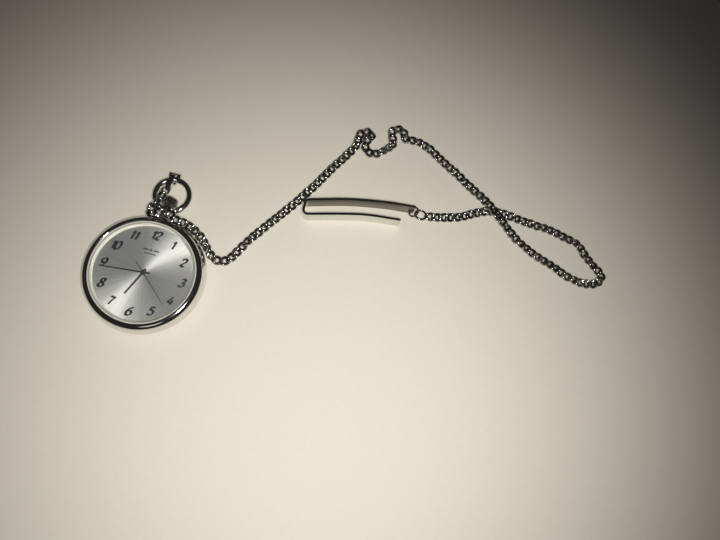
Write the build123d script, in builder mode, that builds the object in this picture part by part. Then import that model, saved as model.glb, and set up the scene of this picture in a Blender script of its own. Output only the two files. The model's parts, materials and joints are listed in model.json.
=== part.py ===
"""A slim quartz pocket watch with its bow, curb chain and spring belt clip.

Millimetres. The origin is on the watch's axis where the case back rests.
+Z points out of the dial, +Y to 12 o'clock and +X to 3 o'clock.
"""

from build123d import *
import os
from math import atan2, cos, degrees, hypot, pi, radians, sin, tan

os.makedirs("parts", exist_ok=True)

# ---------------------------------------------------------------- case
CASE_R = 21.9  # the largest radius, low on the side
CASE_FOOT_R = 21.2
FOOT_ARC = (21.65, 1.25)  # a point on the side's rounded foot
SIDE_Z = 1.9  # the height of the largest radius
SHOULDER_R = 21.2  # the side's radius at the bezel
SEAM = 0.05  # how far the case back sits in from the side
REST_R = 17.2  # the flat that the watch rests on
BACK_THICK = 0.7
BACK_TOP = 0.8  # where the case back meets the middle
MIDDLE_TOP = 4.4  # where the middle meets the bezel
LIP_IN, LIP_OUT = 17.0, 17.6  # the case back's snap lip
LIP_TOP = 1.6
SEAT_R, SEAT_Z = 18.05, 1.7  # the recess that the lip snaps into
WALL_R = 17.5  # the bore that holds the movement
DIAL_SHELF_Z = 3.8
UPPER_BORE_R = 18.6
BEZEL_IN_R, BEZEL_LIP_Z = 18.8, 6.15
BEZEL_CREST_R = 19.15
BEZEL_ARC, BEZEL_INNER_ARC = (20.55, 5.8), (18.92, 6.33)  # points on its two slopes
BEZEL_TOP = 6.4
CRYSTAL_R = 18.4
CRYSTAL_Z = 5.4
CRYSTAL_EDGE_Z = 6.1
CRYSTAL_TOP = 6.62
BACK_GASKET_Z, BACK_GASKET_THICK = 0.95, 0.45
REHAUT_IN_R, REHAUT_TOP_R, REHAUT_OUT_R = 17.45, 18.1, 18.5

# ---------------------------------------------------------------- pendant
STEM_Z = 3.05
STEM_R = 0.38
STEM_IN_Y, STEM_OUT_Y = 7.6, 28.8
STEM_HOLE_R = 0.6
NECK_R, COLLAR_R = 2.3, 2.1
NECK_IN_Y, NECK_STEP_Y, COLLAR_Y, COLLAR_TOP_Y = 20.0, 23.4, 24.2, 26.1
NECK_TOP_Y, NECK_TOP_R = 26.4, 1.8
STEM_FIT = 0.04
GASKET_Y, GASKET_WIDTH, GASKET_R = 22.2, 0.7, 0.85
PIVOT_Y, PIVOT_R, PIVOT_GAP = 25.65, 0.5, 0.05
PIVOT_IN, PIVOT_HOLE_IN = 1.45, 1.4
BOW_Y, BOW_R, BOW_WIRE_R = 31.1, 6.25, 1.1
BOW_END_X = 3.0
KNUCKLE_X, KNUCKLE_R = 3.15, 1.15
CROWN_R, CROWN_BASE_Y, CROWN_TOP_Y = 2.8, 26.85, 30.15
CROWN_SIDE_Y, CROWN_EDGE_Y = 27.2, 29.3  # where the fluted side starts and ends
CROWN_BASE_R, CROWN_TOP_R = 2.45, 1.8
CROWN_ARC_Y = 29.9
CROWN_FLUTES, FLUTE_R, FLUTE_OUT, FLUTE_Y, FLUTE_LENGTH = 28, 0.18, 0.06, 27.0, 2.6
SLIDING_Y, SLIDING_LENGTH = 9.0, 1.3

# ---------------------------------------------------------------- dial and hands
DIAL_R, DIAL_Z, DIAL_THICK, DIAL_HOLE_R = 17.85, 3.8, 0.25, 0.85
DIAL_FOOT_R, DIAL_FOOT_X = 0.35, 9.8
HAND_THICK = 0.12
HOUR_ANGLE, MINUTE_ANGLE, SECOND_ANGLE = 202.5, 264.2, 132.0  # clockwise from 12
HOUR_Z, MINUTE_Z, SECOND_Z = 4.22, 4.50, 4.80

# ---------------------------------------------------------------- movement
PLATE_R, PLATE_Z, PLATE_TOP = 12.5, 2.85, 3.30
SPACER_FIT = 0.03
BRIDGE_Z, BRIDGE_TOP, BRIDGE_R = 1.15, 1.45, 6.9
POST_R = 0.7
POSTS = [(5.9, 2.6), (-0.9, 6.2), (-1.9, -5.2)]
SCREW_R, SCREW_HEAD_R, SCREW_HEAD_THICK, SCREW_LENGTH = 0.3, 0.6, 0.25, 1.2
SCREW_SLOT_WIDTH, SCREW_SLOT_DEPTH = 0.2, 0.12
WHEEL_POST_HEIGHT = 0.44
PIVOT_PIN_R, PIVOT_BORE_R = 0.10, 0.13
CHANNEL_HALF, CHANNEL_Y, CHANNEL_LENGTH = 0.85, 10.4, 6.0  # the stem's channel in the plate
BATTERY_X, BATTERY_Y, BATTERY_R = -6.6, -5.2, 3.4
BATTERY_Z, BATTERY_THICK, BATTERY_ROOM, BATTERY_CHAMFER = 1.1, 1.65, 0.3, 0.15
CLAMP_THICK, CLAMP_WIDTH, CLAMP_OVERHANG, CLAMP_ANGLE, CLAMP_HOLE_R = 0.15, 1.4, 0.6, -38, 0.45
CORE_Y, CORE_X0, CORE_X1 = -8.7, -0.4, 8.2
CORE_Z, CORE_THICK, CORE_WIDTH = 2.05, 0.2, 0.8
COIL_R, COIL_INSET = 0.62, 1.4
STATOR_Z, STATOR_THICK = 2.27, 0.25
STATOR_LEG, STATOR_INNER_Y, STATOR_SHOULDER_Y, STATOR_TOP_Y = 1.1, -4.9, -3.4, -2.3
STATOR_TOP_X0, STATOR_TOP_X1 = 2.0, 5.6
ROTOR_R, ROTOR_HOLE_R, ROTOR_PROUD = 0.75, 0.95, 0.1
BOARD_Z, BOARD_THICK, BOARD_IN_R, BOARD_OUT_R, BOARD_START, BOARD_SWEEP = 1.90, 0.25, 7.8, 11.8, 15, 90
CHIP_R, CHIP_ANGLE, CHIP_LENGTH, CHIP_WIDTH, CHIP_THICK = 9.8, 60, 2.2, 1.8, 0.35
QUARTZ_START, QUARTZ_R, QUARTZ_LENGTH = (-9.0, 5.4, 2.05), 0.7, 4.5

# ---------------------------------------------------------------- wheel train
ADDENDUM, DEDENDUM = 0.7, 1.1  # in modules
TIP_SHARE, PITCH_SHARE, ROOT_SHARE = 0.16, 0.34, 0.46  # of the tooth pitch
FOURTH_TEETH, FIFTH_PINION_TEETH, FOURTH_MODULE = 40, 8, 0.12
FIFTH_TEETH, ROTOR_TEETH, FIFTH_MODULE = 48, 8, 0.09
THIRD_TEETH, FOURTH_PINION_TEETH, THIRD_MODULE = 60, 8, 0.11
CENTRE_TEETH, THIRD_PINION_TEETH = 64, 8
MOTION_MODULE = 0.13
CANNON_TEETH, MINUTE_WHEEL_TEETH = 10, 30
MINUTE_PINION_TEETH, HOUR_TEETH = 8, 32
SETTING_TEETH = 16
SLIDING_TEETH, SLIDING_MODULE = 14, 0.09
SECOND_ARBOR_R = 0.12
CENTRE_BORE_R, CENTRE_ARBOR_R = 0.17, 0.30
CANNON_R, CANNON_TOP = 0.45, 4.46
HOUR_PIPE_BORE_R, HOUR_PIPE_R, HOUR_PIPE_TOP = 0.50, 0.70, 4.36

# ---------------------------------------------------------------- chain and clip
TUBE_R = 1.2
TABLE_Z = 1.25  # the chain's centre where it lies on the table
CLIP_THICK, CLIP_HEIGHT = 0.85, 6.5
BIG_RING_X, BIG_RING_Y, BIG_RING_Z = 92.3, 50.5, 1.35
BIG_RING_R, BIG_RING_WIRE_R, BIG_RING_TILT = 2.2, 0.45, -20.0
SMALL_RING_R, SMALL_RING_WIRE_R, SMALL_RING_TILT = 1.9, 0.4, 42.0
CLIP_HOLE_R = 0.98
CLASP_X, CLASP_TILT = -1.6, 20.0


def polar(radius, angle, start=(0.0, 0.0)):
    """The point at a radius and an angle in degrees from a start."""
    return (start[0] + radius * cos(radians(angle)), start[1] + radius * sin(radians(angle)))


def tooth_outline(teeth, module, phase, centre):
    """The corners of a gear whose first tooth points along phase, in degrees."""
    pitch = 360 / teeth
    root = module * (teeth / 2 - DEDENDUM)
    middle = module * teeth / 2
    tip = module * (teeth / 2 + ADDENDUM)
    corners = []
    for tooth in range(teeth):
        angle = phase + tooth * pitch
        for radius, share in (
            (root, -ROOT_SHARE),
            (middle, -PITCH_SHARE),
            (tip, -TIP_SHARE),
            (tip, TIP_SHARE),
            (middle, PITCH_SHARE),
            (root, ROOT_SHARE),
        ):
            corners.append(polar(radius, angle + share * pitch / 2, centre))
    return corners


def meshing_phase(driver_teeth, driver_phase, driver_centre, teeth, centre):
    """The phase that puts a gap of this gear round the driver's nearest tooth."""
    line = degrees(atan2(centre[1] - driver_centre[1], centre[0] - driver_centre[0]))
    pitch = 360 / driver_teeth
    ahead = -((line - driver_phase + pitch / 2) % pitch - pitch / 2)
    return line + 180 + 180 / teeth - ahead * driver_teeth / teeth


def corner_radii(route):
    """The tangent arc at each corner: 0.45 of the shorter run over the tangent of half the turn."""
    radii = []
    for before, here, after in zip(route, route[1:], route[2:]):
        first, second = Vector(here) - Vector(before), Vector(after) - Vector(here)
        shorter = min(first.length, second.length)
        radii.append(0.45 * shorter / tan(radians(first.get_angle(second) / 2)))
    return radii


# ================================================================ case
with BuildPart() as case_back:
    with BuildSketch(Plane.XZ):
        with BuildLine():
            Polyline((0, BACK_THICK), (0, 0), (REST_R, 0))
            TangentArc((REST_R, 0), (CASE_FOOT_R - SEAM, BACK_TOP), tangent=(1, 0))
            Polyline(
                (CASE_FOOT_R - SEAM, BACK_TOP),
                (LIP_OUT, BACK_TOP),
                (LIP_OUT, LIP_TOP),
                (LIP_IN, LIP_TOP),
                (LIP_IN, BACK_THICK),
                (0, BACK_THICK),
            )
        make_face()
    revolve(axis=Axis.Z)
case_back.part.label = "case_back"
export_step(case_back.part, "parts/case_back.step")

with BuildPart() as case_back_gasket:
    with BuildSketch(Plane.XY.offset(BACK_GASKET_Z)):
        Circle(SEAT_R)
        Circle(LIP_OUT, mode=Mode.SUBTRACT)
    extrude(amount=BACK_GASKET_THICK)
case_back_gasket.part.label = "case_back_gasket"
export_step(case_back_gasket.part, "parts/case_back_gasket.step")

with BuildPart() as case_middle:
    with BuildSketch(Plane.XZ):
        with BuildLine():
            ThreePointArc((CASE_FOOT_R, BACK_TOP), FOOT_ARC, (CASE_R, SIDE_Z))
            Polyline(
                (CASE_R, SIDE_Z),
                (SHOULDER_R, MIDDLE_TOP),
                (UPPER_BORE_R, MIDDLE_TOP),
                (UPPER_BORE_R, DIAL_SHELF_Z),
                (WALL_R, DIAL_SHELF_Z),
                (WALL_R, SEAT_Z),
                (SEAT_R, SEAT_Z),
                (SEAT_R, BACK_TOP),
                (CASE_FOOT_R, BACK_TOP),
            )
        make_face()
    revolve(axis=Axis.Z)
    with BuildSketch(Plane.XZ.offset(-WALL_R + 1)):
        with Locations((0, STEM_Z)):
            Circle(STEM_HOLE_R)
    extrude(amount=-6, mode=Mode.SUBTRACT)
case_middle.part.label = "case_middle"
export_step(case_middle.part, "parts/case_middle.step")

with BuildPart() as bezel:
    with BuildSketch(Plane.XZ):
        with BuildLine():
            Line((BEZEL_IN_R, MIDDLE_TOP), (SHOULDER_R, MIDDLE_TOP))
            ThreePointArc((SHOULDER_R, MIDDLE_TOP), BEZEL_ARC, (BEZEL_CREST_R, BEZEL_TOP))
            ThreePointArc((BEZEL_CREST_R, BEZEL_TOP), BEZEL_INNER_ARC, (BEZEL_IN_R, BEZEL_LIP_Z))
            Line((BEZEL_IN_R, BEZEL_LIP_Z), (BEZEL_IN_R, MIDDLE_TOP))
        make_face()
    revolve(axis=Axis.Z)
bezel.part.label = "bezel"
export_step(bezel.part, "parts/bezel.step")

with BuildPart() as crystal:
    with BuildSketch(Plane.XZ):
        with BuildLine():
            Polyline((0, CRYSTAL_TOP), (0, CRYSTAL_Z), (CRYSTAL_R, CRYSTAL_Z), (CRYSTAL_R, CRYSTAL_EDGE_Z))
            TangentArc((0, CRYSTAL_TOP), (CRYSTAL_R, CRYSTAL_EDGE_Z), tangent=(1, 0))
        make_face()
    revolve(axis=Axis.Z)
crystal.part.label = "crystal"
export_step(crystal.part, "parts/crystal.step")

with BuildPart() as crystal_gasket:
    with BuildSketch(Plane.XY.offset(CRYSTAL_Z)):
        Circle(BEZEL_IN_R)
        Circle(CRYSTAL_R, mode=Mode.SUBTRACT)
    extrude(amount=CRYSTAL_EDGE_Z - CRYSTAL_Z)
crystal_gasket.part.label = "crystal_gasket"
export_step(crystal_gasket.part, "parts/crystal_gasket.step")

with BuildPart() as rehaut_ring:
    with BuildSketch(Plane.XZ):
        with BuildLine():
            Polyline(
                (REHAUT_IN_R, DIAL_Z + DIAL_THICK),
                (REHAUT_OUT_R, DIAL_Z + DIAL_THICK),
                (REHAUT_OUT_R, CRYSTAL_Z),
                (REHAUT_TOP_R, CRYSTAL_Z),
                close=True,
            )
        make_face()
    revolve(axis=Axis.Z)
rehaut_ring.part.label = "rehaut_ring"
export_step(rehaut_ring.part, "parts/rehaut_ring.step")

# ================================================================ pendant, bow and crown
with BuildPart() as pendant_neck:
    with BuildSketch(Plane.YZ):
        with BuildLine():
            Polyline(
                (NECK_IN_Y, STEM_Z + STEM_HOLE_R),
                (NECK_IN_Y, STEM_Z + NECK_R),
                (NECK_STEP_Y, STEM_Z + NECK_R),
                (COLLAR_Y, STEM_Z + COLLAR_R),
                (COLLAR_TOP_Y, STEM_Z + COLLAR_R),
                (NECK_TOP_Y, STEM_Z + NECK_TOP_R),
                (NECK_TOP_Y, STEM_Z + STEM_HOLE_R),
                (GASKET_Y + GASKET_WIDTH, STEM_Z + STEM_HOLE_R),
                (GASKET_Y + GASKET_WIDTH, STEM_Z + GASKET_R),
                (GASKET_Y, STEM_Z + GASKET_R),
                (GASKET_Y, STEM_Z + STEM_HOLE_R),
                close=True,
            )
        make_face()
    revolve(axis=Axis((0, 0, STEM_Z), (0, 1, 0)))
    with BuildSketch(Plane.XZ):
        with BuildLine():
            Polyline(
                (0, 0),
                (CASE_R, 0),
                (CASE_R, SIDE_Z),
                (SHOULDER_R, MIDDLE_TOP),
                (SHOULDER_R, BEZEL_TOP),
                (0, BEZEL_TOP),
                close=True,
            )
        make_face()
    revolve(axis=Axis.Z, mode=Mode.SUBTRACT)
    for side in (-1, 1):
        with BuildSketch(Plane.YZ.offset(side * PIVOT_HOLE_IN)):
            with Locations((PIVOT_Y, STEM_Z)):
                Circle(PIVOT_R + PIVOT_GAP)
        extrude(amount=side * NECK_R, mode=Mode.SUBTRACT)
pendant_neck.part.label = "pendant_neck"
export_step(pendant_neck.part, "parts/pendant_neck.step")

with BuildPart() as crown_gasket:
    with BuildSketch(Plane.XZ.offset(-GASKET_Y)):
        with Locations((0, STEM_Z)):
            Circle(GASKET_R)
            Circle(STEM_R + STEM_FIT, mode=Mode.SUBTRACT)
    extrude(amount=-GASKET_WIDTH)
crown_gasket.part.label = "crown_gasket"
export_step(crown_gasket.part, "parts/crown_gasket.step")

bow_start = degrees(atan2(-((BOW_R**2 - BOW_END_X**2) ** 0.5), BOW_END_X))
with BuildPart() as bow:
    with BuildLine(Plane.XY.offset(STEM_Z)) as bow_line:
        CenterArc((0, BOW_Y), BOW_R, bow_start, 180 - 2 * bow_start)
    with BuildSketch(Plane(origin=bow_line.line @ 0, z_dir=bow_line.line % 0)):
        Circle(BOW_WIRE_R)
    sweep()
    with Locations((-KNUCKLE_X, PIVOT_Y, STEM_Z), (KNUCKLE_X, PIVOT_Y, STEM_Z)):
        Sphere(KNUCKLE_R)
    for side in (-1, 1):
        with BuildSketch(Plane.YZ.offset(side * PIVOT_IN)):
            with Locations((PIVOT_Y, STEM_Z)):
                Circle(PIVOT_R)
        extrude(amount=side * (KNUCKLE_X - PIVOT_IN))
bow.part.label = "bow"
export_step(bow.part, "parts/bow.step")

with BuildPart() as crown:
    with BuildSketch(Plane.YZ):
        with BuildLine():
            Polyline(
                (CROWN_TOP_Y, STEM_Z),
                (STEM_OUT_Y, STEM_Z),
                (STEM_OUT_Y, STEM_Z + STEM_R),
                (CROWN_BASE_Y, STEM_Z + STEM_R),
                (CROWN_BASE_Y, STEM_Z + CROWN_BASE_R),
                (CROWN_SIDE_Y, STEM_Z + CROWN_R),
                (CROWN_EDGE_Y, STEM_Z + CROWN_R),
            )
            ThreePointArc(
                (CROWN_EDGE_Y, STEM_Z + CROWN_R),
                (CROWN_ARC_Y, STEM_Z + CROWN_BASE_R),
                (CROWN_TOP_Y, STEM_Z + CROWN_TOP_R),
            )
            Line((CROWN_TOP_Y, STEM_Z + CROWN_TOP_R), (CROWN_TOP_Y, STEM_Z))
        make_face()
    revolve(axis=Axis((0, 0, STEM_Z), (0, 1, 0)))
    with BuildSketch(Plane.XZ.offset(-FLUTE_Y)):
        with Locations((0, STEM_Z)):
            with PolarLocations(CROWN_R + FLUTE_OUT, CROWN_FLUTES):
                Circle(FLUTE_R)
    extrude(amount=-FLUTE_LENGTH, mode=Mode.SUBTRACT)
crown.part.label = "crown"
export_step(crown.part, "parts/crown.step")

with BuildPart() as stem:
    with BuildSketch(Plane.XZ.offset(-STEM_IN_Y)):
        with Locations((0, STEM_Z)):
            Circle(STEM_R)
    extrude(amount=-(STEM_OUT_Y - STEM_IN_Y))
stem.part.label = "stem"
export_step(stem.part, "parts/stem.step")

with BuildPart() as sliding_pinion:
    with BuildSketch(Plane.XZ.offset(-SLIDING_Y)):
        with BuildLine():
            Polyline(*tooth_outline(SLIDING_TEETH, SLIDING_MODULE, 0, (0, STEM_Z)), close=True)
        make_face()
        with Locations((0, STEM_Z)):
            Circle(STEM_R + STEM_FIT, mode=Mode.SUBTRACT)
    extrude(amount=-SLIDING_LENGTH)
sliding_pinion.part.label = "sliding_pinion"
export_step(sliding_pinion.part, "parts/sliding_pinion.step")

# ================================================================ dial and hands
with BuildPart() as dial:
    with BuildSketch(Plane.XY.offset(DIAL_Z)):
        Circle(DIAL_R)
        Circle(DIAL_HOLE_R, mode=Mode.SUBTRACT)
    extrude(amount=DIAL_THICK)
    with BuildSketch(Plane.XY.offset(DIAL_Z)):
        with Locations((-DIAL_FOOT_X, 0), (DIAL_FOOT_X, 0)):
            Circle(DIAL_FOOT_R)
    extrude(amount=PLATE_Z + 0.1 - DIAL_Z)
dial.part.label = "dial"
export_step(dial.part, "parts/dial.step")

for name, angle, height, length, tail, root_half, tip_half, hub_r, bore_r in (
    ("hour_hand", HOUR_ANGLE, HOUR_Z, 9.7, 1.6, 0.42, 0.36, 1.05, HOUR_PIPE_R),
    ("minute_hand", MINUTE_ANGLE, MINUTE_Z, 14.5, 2.4, 0.30, 0.25, 0.8, CENTRE_ARBOR_R),
    ("second_hand", SECOND_ANGLE, SECOND_Z, 14.0, 4.8, 0.13, 0.08, 0.5, SECOND_ARBOR_R),
):
    with BuildPart() as hand:
        with BuildSketch(Plane.XY.offset(height).rotated((0, 0, -angle))):
            with BuildLine():
                Polyline(
                    (-tip_half, length),
                    (-root_half, 0),
                    (-root_half, -tail),
                    (root_half, -tail),
                    (root_half, 0),
                    (tip_half, length),
                    close=True,
                )
            make_face()
            Circle(hub_r)
            Circle(bore_r, mode=Mode.SUBTRACT)
        extrude(amount=HAND_THICK)
    hand.part.label = name
    export_step(hand.part, f"parts/{name}.step")

# ================================================================ wheel train
CENTRE = (0.0, 0.0)
THIRD = polar(THIRD_MODULE * (THIRD_TEETH + FOURTH_PINION_TEETH) / 2, 150)
FIFTH = polar(FOURTH_MODULE * (FOURTH_TEETH + FIFTH_PINION_TEETH) / 2, -30)
ROTOR = polar(FIFTH_MODULE * (FIFTH_TEETH + ROTOR_TEETH) / 2, -60, FIFTH)
MINUTE_POST = (0.0, MOTION_MODULE * (CANNON_TEETH + MINUTE_WHEEL_TEETH) / 2)
SETTING_POST = (0.0, MINUTE_POST[1] + MOTION_MODULE * (MINUTE_WHEEL_TEETH + SETTING_TEETH) / 2)
# the centre wheel's module makes its mesh the same distance apart as the third wheel's
CENTRE_MODULE = 2 * hypot(*THIRD) / (CENTRE_TEETH + THIRD_PINION_TEETH)

fifth_pinion_phase = meshing_phase(FOURTH_TEETH, 0, CENTRE, FIFTH_PINION_TEETH, FIFTH)
rotor_phase = meshing_phase(FIFTH_TEETH, 0, FIFTH, ROTOR_TEETH, ROTOR)
third_phase = meshing_phase(FOURTH_PINION_TEETH, 0, CENTRE, THIRD_TEETH, THIRD)
third_pinion_phase = meshing_phase(CENTRE_TEETH, 0, CENTRE, THIRD_PINION_TEETH, THIRD)
minute_wheel_phase = meshing_phase(CANNON_TEETH, 0, CENTRE, MINUTE_WHEEL_TEETH, MINUTE_POST)
minute_pinion_phase = meshing_phase(HOUR_TEETH, 0, CENTRE, MINUTE_PINION_TEETH, MINUTE_POST)
setting_phase = meshing_phase(
    MINUTE_WHEEL_TEETH, minute_wheel_phase, MINUTE_POST, SETTING_TEETH, SETTING_POST
)

# name, teeth, module, phase, centre, the toothed part's base and top,
# the bore, and the radius, base and top of the arbor or pipe that the piece has
NO_BORE = 0.0
PIN = (PIVOT_PIN_R, BRIDGE_Z + 0.03, PLATE_TOP - 0.1)
NO_ARBOR = (0.0, 0.0, 0.0)
POST_BORE_R = 0.25
GEARS = [
    ("fourth_pinion", FOURTH_PINION_TEETH, THIRD_MODULE, 0, CENTRE, 2.05, 2.45, NO_BORE,
     (SECOND_ARBOR_R, BRIDGE_Z + 0.03, SECOND_Z + 0.22)),
    ("fourth_wheel", FOURTH_TEETH, FOURTH_MODULE, 0, CENTRE, 1.62, 1.77, SECOND_ARBOR_R, NO_ARBOR),
    ("fifth_pinion", FIFTH_PINION_TEETH, FOURTH_MODULE, fifth_pinion_phase, FIFTH, 1.56, 1.83, NO_BORE, PIN),
    ("fifth_wheel", FIFTH_TEETH, FIFTH_MODULE, 0, FIFTH, 1.86, 1.98, PIVOT_PIN_R, NO_ARBOR),
    ("rotor_pinion", ROTOR_TEETH, FIFTH_MODULE, rotor_phase, ROTOR, 1.80, 2.04, NO_BORE, PIN),
    ("third_wheel", THIRD_TEETH, THIRD_MODULE, third_phase, THIRD, 2.16, 2.30, PIVOT_PIN_R, NO_ARBOR),
    ("third_pinion", THIRD_PINION_TEETH, CENTRE_MODULE, third_pinion_phase, THIRD, 2.50, 2.78, NO_BORE, PIN),
    ("centre_wheel", CENTRE_TEETH, CENTRE_MODULE, 0, CENTRE, 2.58, 2.72, CENTRE_BORE_R,
     (CENTRE_ARBOR_R, 2.52, MINUTE_Z + 0.16)),
    ("cannon_pinion", CANNON_TEETH, MOTION_MODULE, 0, CENTRE, 3.36, 3.54, CENTRE_ARBOR_R,
     (CANNON_R, 3.34, CANNON_TOP)),
    ("minute_wheel", MINUTE_WHEEL_TEETH, MOTION_MODULE, minute_wheel_phase, MINUTE_POST, 3.36, 3.52,
     POST_BORE_R, NO_ARBOR),
    ("minute_pinion", MINUTE_PINION_TEETH, MOTION_MODULE, minute_pinion_phase, MINUTE_POST, 3.52, 3.76,
     POST_BORE_R, NO_ARBOR),
    ("hour_wheel", HOUR_TEETH, MOTION_MODULE, 0, CENTRE, 3.60, 3.75, HOUR_PIPE_BORE_R,
     (HOUR_PIPE_R, 3.60, HOUR_PIPE_TOP)),
    ("setting_wheel", SETTING_TEETH, MOTION_MODULE, setting_phase, SETTING_POST, 3.36, 3.54,
     POST_BORE_R, NO_ARBOR),
]
for name, teeth, module, phase, centre, base, top, bore_r, arbor in GEARS:
    arbor_r, arbor_base, arbor_top = arbor
    with BuildPart() as gear:
        with BuildSketch(Plane.XY.offset(base)):
            with BuildLine():
                Polyline(*tooth_outline(teeth, module, phase, centre), close=True)
            make_face()
        extrude(amount=top - base)
        if arbor_r:
            with BuildSketch(Plane.XY.offset(arbor_base)):
                with Locations(centre):
                    Circle(arbor_r)
            extrude(amount=arbor_top - arbor_base)
        if bore_r:
            with BuildSketch(Plane.XY.offset(min(base, arbor_base or base))):
                with Locations(centre):
                    Circle(bore_r)
            extrude(amount=max(top, arbor_top) - min(base, arbor_base or base), mode=Mode.SUBTRACT)
    gear.part.label = name
    export_step(gear.part, f"parts/{name}.step")

# ================================================================ movement
with BuildPart() as main_plate:
    with BuildSketch(Plane.XY.offset(PLATE_Z)):
        Circle(PLATE_R)
        Circle(CENTRE_ARBOR_R + 0.04, mode=Mode.SUBTRACT)
        with Locations(THIRD, FIFTH, ROTOR):
            Circle(PIVOT_BORE_R, mode=Mode.SUBTRACT)
        with Locations((-DIAL_FOOT_X, 0), (DIAL_FOOT_X, 0)):
            Circle(DIAL_FOOT_R, mode=Mode.SUBTRACT)
        with Locations((0, CHANNEL_Y)):
            Rectangle(2 * CHANNEL_HALF, CHANNEL_LENGTH, mode=Mode.SUBTRACT)
    extrude(amount=PLATE_TOP - PLATE_Z)
    with BuildSketch(Plane.XY.offset(PLATE_TOP)):
        with Locations(MINUTE_POST, SETTING_POST):
            Circle(POST_BORE_R - 0.05)
    extrude(amount=WHEEL_POST_HEIGHT)
    with BuildSketch(Plane.XY.offset(BRIDGE_TOP)):
        with Locations(*POSTS):
            Circle(POST_R)
            Circle(SCREW_R, mode=Mode.SUBTRACT)
    extrude(amount=PLATE_Z - BRIDGE_TOP)
main_plate.part.label = "main_plate"
export_step(main_plate.part, "parts/main_plate.step")

with BuildPart() as train_bridge:
    with BuildSketch(Plane.XY.offset(BRIDGE_Z)):
        Circle(BRIDGE_R)
        with Locations((BATTERY_X, BATTERY_Y)):
            Circle(BATTERY_R + BATTERY_ROOM, mode=Mode.SUBTRACT)
        with Locations(CENTRE):
            Circle(SECOND_ARBOR_R + 0.03, mode=Mode.SUBTRACT)
        with Locations(THIRD, FIFTH, ROTOR):
            Circle(PIVOT_BORE_R, mode=Mode.SUBTRACT)
        with Locations(*POSTS):
            Circle(SCREW_R, mode=Mode.SUBTRACT)
    extrude(amount=BRIDGE_TOP - BRIDGE_Z)
train_bridge.part.label = "train_bridge"
export_step(train_bridge.part, "parts/train_bridge.step")

with BuildPart() as bridge_screws:
    with BuildSketch(Plane.XY.offset(BRIDGE_Z - SCREW_HEAD_THICK)):
        with Locations(*POSTS):
            Circle(SCREW_HEAD_R)
    extrude(amount=SCREW_HEAD_THICK)
    with BuildSketch(Plane.XY.offset(BRIDGE_Z)):
        with Locations(*POSTS):
            Circle(SCREW_R)
    extrude(amount=SCREW_LENGTH)
    with BuildSketch(Plane.XY.offset(BRIDGE_Z - SCREW_HEAD_THICK)):
        with Locations(*POSTS):
            Rectangle(2 * SCREW_HEAD_R, SCREW_SLOT_WIDTH)
    extrude(amount=SCREW_SLOT_DEPTH, mode=Mode.SUBTRACT)
bridge_screws.part.label = "bridge_screws"
export_step(bridge_screws.part, "parts/bridge_screws.step")

with BuildPart() as movement_spacer:
    with BuildSketch(Plane.XY.offset(SEAT_Z)):
        Circle(WALL_R - 0.1)
        Circle(PLATE_R + SPACER_FIT, mode=Mode.SUBTRACT)
    extrude(amount=DIAL_SHELF_Z - SEAT_Z)
    with BuildSketch(Plane.XZ.offset(-PLATE_R + 1)):
        with Locations((0, STEM_Z)):
            Circle(STEM_HOLE_R)
    extrude(amount=-7, mode=Mode.SUBTRACT)
movement_spacer.part.label = "movement_spacer"
export_step(movement_spacer.part, "parts/movement_spacer.step")

with BuildPart() as battery:
    with BuildSketch(Plane.XY.offset(BATTERY_Z)):
        with Locations((BATTERY_X, BATTERY_Y)):
            Circle(BATTERY_R)
    extrude(amount=BATTERY_THICK)
    chamfer(battery.edges().filter_by(GeomType.CIRCLE), length=BATTERY_CHAMFER)
battery.part.label = "battery"
export_step(battery.part, "parts/battery.step")

with BuildPart() as battery_clamp:
    with BuildSketch(Plane.XY.offset(BATTERY_Z - CLAMP_THICK)):
        with Locations((BATTERY_X, BATTERY_Y)):
            SlotOverall(2 * (BATTERY_R + CLAMP_OVERHANG), CLAMP_WIDTH, rotation=CLAMP_ANGLE)
            Circle(CLAMP_HOLE_R, mode=Mode.SUBTRACT)
    extrude(amount=CLAMP_THICK)
battery_clamp.part.label = "battery_clamp"
export_step(battery_clamp.part, "parts/battery_clamp.step")

with BuildPart() as coil_core:
    with BuildSketch(Plane.XY.offset(CORE_Z)):
        with Locations(((CORE_X0 + CORE_X1) / 2, CORE_Y)):
            Rectangle(CORE_X1 - CORE_X0, CORE_WIDTH)
    extrude(amount=CORE_THICK)
coil_core.part.label = "coil_core"
export_step(coil_core.part, "parts/coil_core.step")

with BuildPart() as coil_winding:
    with BuildSketch(Plane.YZ.offset(CORE_X0 + COIL_INSET)):
        with Locations((CORE_Y, CORE_Z + CORE_THICK / 2)):
            Circle(COIL_R)
            Rectangle(CORE_WIDTH, CORE_THICK, mode=Mode.SUBTRACT)
    extrude(amount=CORE_X1 - CORE_X0 - 2 * COIL_INSET)
coil_winding.part.label = "coil_winding"
export_step(coil_winding.part, "parts/coil_winding.step")

with BuildPart() as stator:
    with BuildSketch(Plane.XY.offset(STATOR_Z)):
        with BuildLine():
            Polyline(
                (CORE_X0, CORE_Y - CORE_WIDTH / 2),
                (CORE_X0 + STATOR_LEG, CORE_Y - CORE_WIDTH / 2),
                (CORE_X0 + STATOR_LEG, STATOR_INNER_Y),
                (CORE_X1 - STATOR_LEG, STATOR_INNER_Y),
                (CORE_X1 - STATOR_LEG, CORE_Y - CORE_WIDTH / 2),
                (CORE_X1, CORE_Y - CORE_WIDTH / 2),
                (CORE_X1, STATOR_SHOULDER_Y),
                (STATOR_TOP_X1, STATOR_TOP_Y),
                (STATOR_TOP_X0, STATOR_TOP_Y),
                (CORE_X0, STATOR_SHOULDER_Y),
                close=True,
            )
        make_face()
        with Locations(ROTOR):
            Circle(ROTOR_HOLE_R, mode=Mode.SUBTRACT)
    extrude(amount=STATOR_THICK)
stator.part.label = "stator"
export_step(stator.part, "parts/stator.step")

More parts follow.
